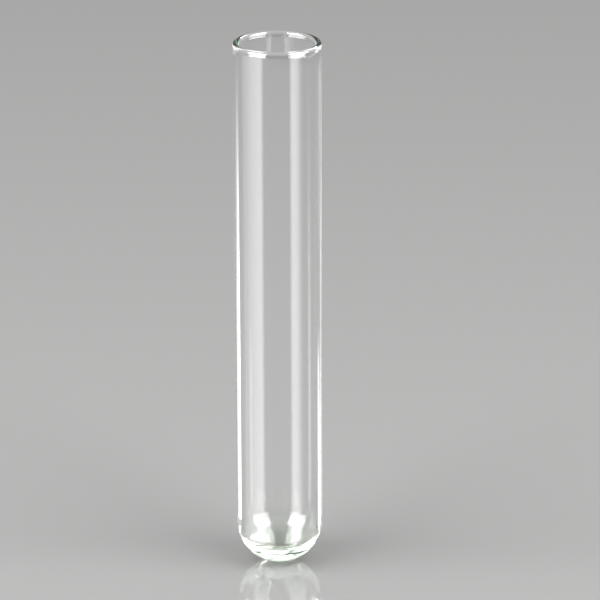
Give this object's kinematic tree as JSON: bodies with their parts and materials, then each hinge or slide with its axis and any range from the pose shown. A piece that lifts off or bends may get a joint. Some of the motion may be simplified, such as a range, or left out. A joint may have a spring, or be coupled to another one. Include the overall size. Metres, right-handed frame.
{
  "type": "test tube",
  "caption": "Plain clear glass test tube: thin straight wall, half-round closed base, flame-rounded open mouth with no rim flange.",
  "frame": {"origin": "lowest point of the outside of the round base, on the tube's axis", "axes": "+Z along the tube's axis from the closed base to the open mouth; X and Y are any two directions across the tube, which is round about Z"},
  "size_m": [0.0161, 0.016, 0.1],
  "materials": {
    "clear_glass": "clear drawn glass, fire-polished mouth, faint green in thick glass"
  },
  "bodies": {
    "root": {"glass_tube": "clear_glass"}
  },
  "joints": []
}
